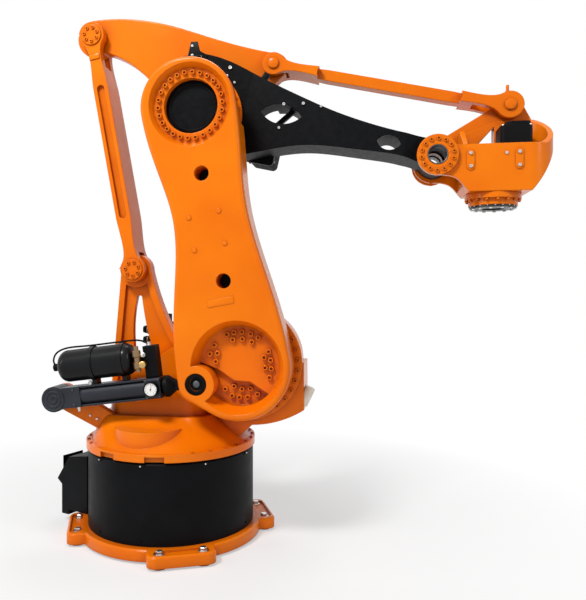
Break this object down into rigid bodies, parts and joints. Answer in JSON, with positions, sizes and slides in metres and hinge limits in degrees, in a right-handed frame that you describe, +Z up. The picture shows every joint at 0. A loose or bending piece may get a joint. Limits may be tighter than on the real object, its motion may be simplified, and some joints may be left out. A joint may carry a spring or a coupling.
{
  "type": "palletising robot arm",
  "caption": "Floor-mounted palletising robot arm: swivel base, tilting link arm, black forearm held level by parallel rods, gas balancer cylinder and round tool flange.",
  "frame": {"origin": "centre of the base plate's underside, on the swivel axis at floor level", "axes": "+X forward in the arm's working plane, +Y to the far side away from the link arm, +Z up"},
  "size_m": [2.4982, 1.0598, 2.6807],
  "materials": {
    "orange_paint": "satin orange paint on castings",
    "black_paint": "satin black paint on castings, fine cast grain",
    "motor_black": "matt black motor enamel",
    "steel": "machined steel",
    "dark_steel": "oiled dark steel",
    "cylinder_grey": "blue-grey cylinder paint",
    "rubber": "black rubber",
    "cream_plastic": "cream polyurethane buffer",
    "gauge_face": "white gauge"
  },
  "bodies": {
    "base": {"base_plate": "orange_paint", "base_drum": "black_paint", "slew_ring": "dark_steel", "connector_box": "black_paint"},
    "column": {"column": "orange_paint", "shoulder_ring": "orange_paint", "linkage_bracket": "orange_paint", "balancer_bracket": "orange_paint", "balancer_foot_pin": "cylinder_grey", "stop_buffer": "cream_plastic", "swivel_gearbox": "orange_paint", "swivel_motor": "motor_black", "shoulder_motor": "motor_black"},
    "link_arm": {"link_arm": "orange_paint", "elbow_cover": "black_paint", "balancer_pin": "dark_steel"},
    "rocker": {"rocker": "orange_paint", "rocker_cap": "orange_paint"},
    "arm": {"arm": "black_paint", "elbow_ring": "orange_paint", "elbow_motor": "motor_black"},
    "lower_rod": {"lower_rod": "orange_paint", "lower_rod_pins": "orange_paint"},
    "upper_rod": {"upper_rod": "orange_paint", "upper_rod_pins": "orange_paint"},
    "wrist": {"wrist_housing": "orange_paint", "wrist_ring_near": "orange_paint", "wrist_ring_far": "orange_paint", "wrist_motor": "motor_black", "flange_gearbox": "orange_paint"},
    "flange": {"tool_flange": "steel"},
    "balancer_barrel": {"balancer_yoke": "cylinder_grey", "balancer_cylinder": "cylinder_grey", "balancer_head": "cylinder_grey", "accumulator": "black_paint", "accumulator_saddles": "black_paint", "valve_block": "black_paint", "pressure_gauge": "gauge_face"},
    "balancer_rod": {"balancer_rod": "black_paint"}
  },
  "joints": [
    {"name": "swivel", "type": "hinge", "parent": "base", "child": "column", "pos_m": [0, 0, 0.453], "axis": [0, 0, 1], "range_deg": [-185, 185]},
    {"name": "shoulder", "type": "hinge", "parent": "column", "child": "link_arm", "pos_m": [0.41, -0.12, 0.885], "axis": [0, 1, 0], "range_deg": [-20, 68]},
    {"name": "rocker_level", "type": "hinge", "parent": "link_arm", "child": "rocker", "pos_m": [0.18435, 0.025, 2.11446], "axis": [0, 1, 0], "range_deg": [-68, 20]},
    {"name": "elbow", "type": "hinge", "parent": "rocker", "child": "arm", "pos_m": [0.18435, -0.08, 2.11446], "axis": [0, 1, 0], "range_deg": [-15, 25]},
    {"name": "lower_rod_pivot", "type": "hinge", "parent": "column", "child": "lower_rod", "pos_m": [-0.194, 0.025, 1.351], "axis": [0, 1, 0], "range_deg": [-20, 68]},
    {"name": "upper_rod_pivot", "type": "hinge", "parent": "rocker", "child": "upper_rod", "pos_m": [0.54235, 0.025, 2.38346], "axis": [0, 1, 0], "range_deg": [-15, 25]},
    {"name": "wrist_level", "type": "hinge", "parent": "arm", "child": "wrist", "pos_m": [1.32085, -0.125, 1.85834], "axis": [0, 1, 0], "range_deg": [-25, 15]},
    {"name": "flange_spin", "type": "hinge", "parent": "wrist", "child": "flange", "pos_m": [1.58485, -0.1175, 1.62234], "axis": [0, 0, 1], "range_deg": [-350, 350]},
    {"name": "balancer_swing", "type": "hinge", "parent": "column", "child": "balancer_barrel", "pos_m": [-0.505, -0.262, 0.709], "axis": [0, 1, 0], "range_deg": [-16.66, 4.9]},
    {"name": "balancer_rod_swing", "type": "hinge", "parent": "link_arm", "child": "balancer_rod", "pos_m": [0.216, -0.262, 0.803], "axis": [0, 1, 0], "range_deg": [-84.66, 24.9]}
  ],
  "couplings": [
    {"joint": "rocker_level", "follows": "shoulder", "ratio": -1},
    {"joint": "lower_rod_pivot", "follows": "shoulder", "ratio": 1},
    {"joint": "upper_rod_pivot", "follows": "elbow", "ratio": 1},
    {"joint": "wrist_level", "follows": "elbow", "ratio": -1},
    {"joint": "balancer_swing", "follows": "shoulder", "ratio": -0.245},
    {"joint": "balancer_rod_swing", "follows": "shoulder", "ratio": -1.245}
  ]
}
